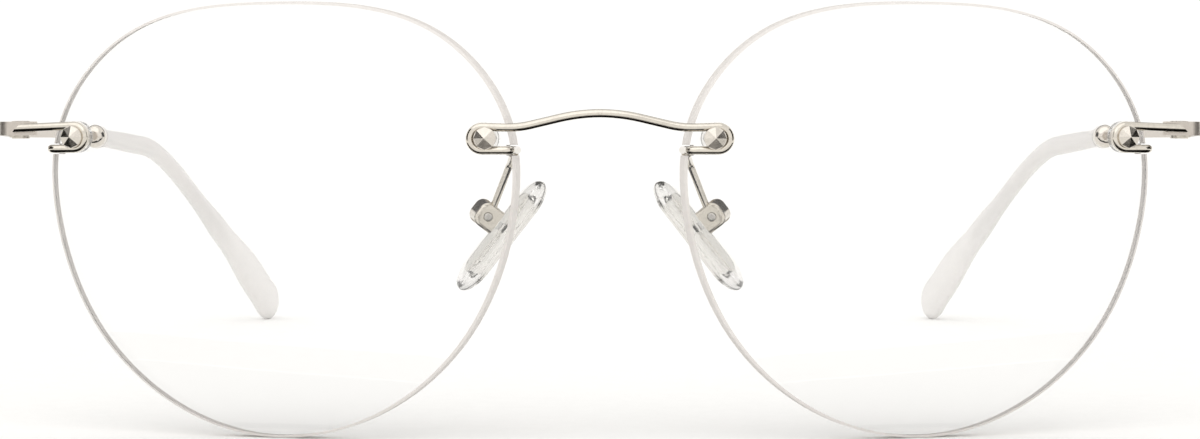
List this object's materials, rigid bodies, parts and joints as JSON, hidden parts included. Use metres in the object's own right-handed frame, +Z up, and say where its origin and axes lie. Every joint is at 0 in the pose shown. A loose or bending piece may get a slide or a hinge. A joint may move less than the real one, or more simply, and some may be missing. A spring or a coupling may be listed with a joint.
{
  "type": "rimless eyeglasses",
  "caption": "Rimless eyeglasses: rounded clear lenses held by a bent wire bridge and end wires with faceted studs, hinged temples with translucent tips and soft nose pads.",
  "frame": {"origin": "on the table under the middle of the whole object, with the temples open", "axes": "+X to the wearer's left, +Y back along the temples, +Z up"},
  "size_m": [0.1316, 0.15, 0.0472],
  "materials": {
    "lens": "clear, polished faces, fine-ground edge",
    "wire": "polished plated wire, warm silver",
    "stud": "polished, facet cut",
    "strip": "satin plated spring strip, pale champagne",
    "hinge": "satin plated",
    "screw": "turned, lightly polished",
    "ferrule": "polished",
    "pad_box": "polished pressed sheet",
    "bushing": "clear moulded plastic",
    "tip": "translucent frosted plastic",
    "pad_insert": "clear moulded plastic",
    "nose_pad": "clear silicone, slightly hazy"
  },
  "bodies": {
    "front": {"bridge_wire": "wire", "lens_left": "lens", "lens_right": "lens", "stud_nasal_left": "stud", "stud_nasal_right": "stud", "stud_temporal_left": "stud", "stud_temporal_right": "stud", "bushing_nasal_left": "bushing", "bushing_nasal_right": "bushing", "bushing_temporal_left": "bushing", "bushing_temporal_right": "bushing", "end_wire_left": "wire", "end_wire_right": "wire", "end_bracket_left": "strip", "end_bracket_right": "strip", "hinge_front_leaf_left": "hinge", "hinge_front_leaf_right": "hinge", "hinge_screw_left": "screw", "hinge_screw_right": "screw", "pad_arm_left": "wire", "pad_arm_right": "wire", "pad_box_left": "pad_box", "pad_box_right": "pad_box", "pad_screw_left": "screw", "pad_screw_right": "screw"},
    "temple_left": {"hinge_temple_leaf_left": "hinge", "temple_bar_left": "strip", "ferrule_left": "ferrule", "tip_sleeve_left": "tip"},
    "pad_left": {"pad_mount_left": "pad_insert", "nose_pad_left": "nose_pad"},
    "temple_right": {"hinge_temple_leaf_right": "hinge", "temple_bar_right": "strip", "ferrule_right": "ferrule", "tip_sleeve_right": "tip"},
    "pad_right": {"pad_mount_right": "pad_insert", "nose_pad_right": "nose_pad"}
  },
  "joints": [
    {"name": "temple_fold_left", "type": "hinge", "parent": "front", "child": "temple_left", "pos_m": [0.064, -0.05321, 0.03267], "axis": [0, 0.021, 0.9998], "range_deg": [0, 80]},
    {"name": "temple_fold_right", "type": "hinge", "parent": "front", "child": "temple_right", "pos_m": [-0.064, -0.05321, 0.03267], "axis": [0, -0.021, -0.9998], "range_deg": [0, 73]},
    {"name": "pad_rock_left", "type": "hinge", "parent": "front", "child": "pad_left", "pos_m": [0.01237, -0.06243, 0.02398], "axis": [0.2435, 0.9624, 0.12], "range_deg": [-8, 8]},
    {"name": "pad_rock_right", "type": "hinge", "parent": "front", "child": "pad_right", "pos_m": [-0.01237, -0.06243, 0.02398], "axis": [0.2435, -0.9624, -0.12], "range_deg": [-8, 8]}
  ]
}
